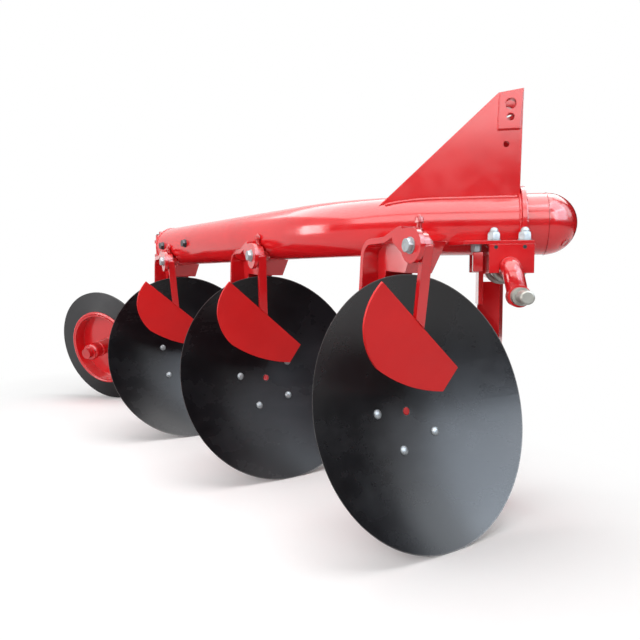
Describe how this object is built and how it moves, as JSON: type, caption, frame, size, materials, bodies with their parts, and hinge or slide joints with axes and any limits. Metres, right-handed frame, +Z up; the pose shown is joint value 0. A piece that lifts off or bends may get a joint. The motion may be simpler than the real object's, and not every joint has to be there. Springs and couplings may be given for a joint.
{
  "type": "mounted disc plough",
  "caption": "Mounted disc plough: bent tube beam with a triangular mast, dished discs with scrapers on curved legs, a cranked cross shaft, a drop stand and a furrow wheel.",
  "frame": {"origin": "centre of the bounding box on the ground", "axes": "+X forwards, the way it is pulled; +Y to the left; +Z up"},
  "size_m": [2.315, 1.8041, 1.079],
  "materials": {
    "paint_red": "gloss",
    "hub_red": "gloss",
    "arm_red": "gloss",
    "disc_black": "satin",
    "ring_black": "satin",
    "steel": "machined"
  },
  "bodies": {
    "frame": {"beam": "paint_red", "beam_cap": "paint_red", "mast_right": "paint_red", "mast_left": "paint_red", "mast_back": "paint_red", "hitch_saddle": "paint_red", "bearing_box": "paint_red", "cross_shaft": "paint_red", "link_pin_right": "steel", "link_pin_left": "steel", "stand_tube": "paint_red", "wheel_bracket": "paint_red", "disc_spindle_1": "steel", "leg_1": "paint_red", "scraper_bracket_1": "paint_red", "scraper_arm_1": "paint_red", "scraper_plate_1": "paint_red", "disc_spindle_2": "steel", "leg_2": "paint_red", "scraper_bracket_2": "paint_red", "scraper_arm_2": "paint_red", "scraper_plate_2": "paint_red", "disc_spindle_3": "steel", "leg_3": "paint_red", "scraper_bracket_3": "paint_red", "scraper_arm_3": "paint_red", "scraper_plate_3": "paint_red"},
    "disc_1_rotor": {"disc_1": "disc_black", "disc_hub_1": "hub_red"},
    "disc_2_rotor": {"disc_2": "disc_black", "disc_hub_2": "hub_red"},
    "disc_3_rotor": {"disc_3": "disc_black", "disc_hub_3": "hub_red"},
    "furrow_wheel_arm": {"wheel_arm": "arm_red"},
    "furrow_wheel": {"wheel_ring": "ring_black", "wheel_pan": "paint_red", "wheel_hub": "paint_red"},
    "stand": {"stand_leg": "steel", "stand_foot": "paint_red"}
  },
  "joints": [
    {"name": "disc_1_spin", "type": "hinge", "parent": "frame", "child": "disc_1_rotor", "pos_m": [0.81349, -0.66135, 0.3192], "axis": [0.684, -0.684, 0.2538], "continuous": true},
    {"name": "disc_2_spin", "type": "hinge", "parent": "frame", "child": "disc_2_rotor", "pos_m": [0.32369, -0.22648, 0.3192], "axis": [0.684, -0.684, 0.2538], "continuous": true},
    {"name": "disc_3_spin", "type": "hinge", "parent": "frame", "child": "disc_3_rotor", "pos_m": [-0.16612, 0.20839, 0.3192], "axis": [0.684, -0.684, 0.2538], "continuous": true},
    {"name": "furrow_wheel_steer", "type": "hinge", "parent": "frame", "child": "furrow_wheel_arm", "pos_m": [-0.35307, 0.37437, 0.836], "axis": [0, 0, 1], "range_deg": [-8, 8]},
    {"name": "furrow_wheel_spin", "type": "hinge", "parent": "furrow_wheel_arm", "child": "furrow_wheel", "pos_m": [-0.87843, 0.7567, 0.28104], "axis": [-0.2336, -0.951, -0.2028], "continuous": true},
    {"name": "stand_slide", "type": "slide", "parent": "frame", "child": "stand", "axis": [0, 0, 1], "range_m": [0, 0.18]}
  ]
}
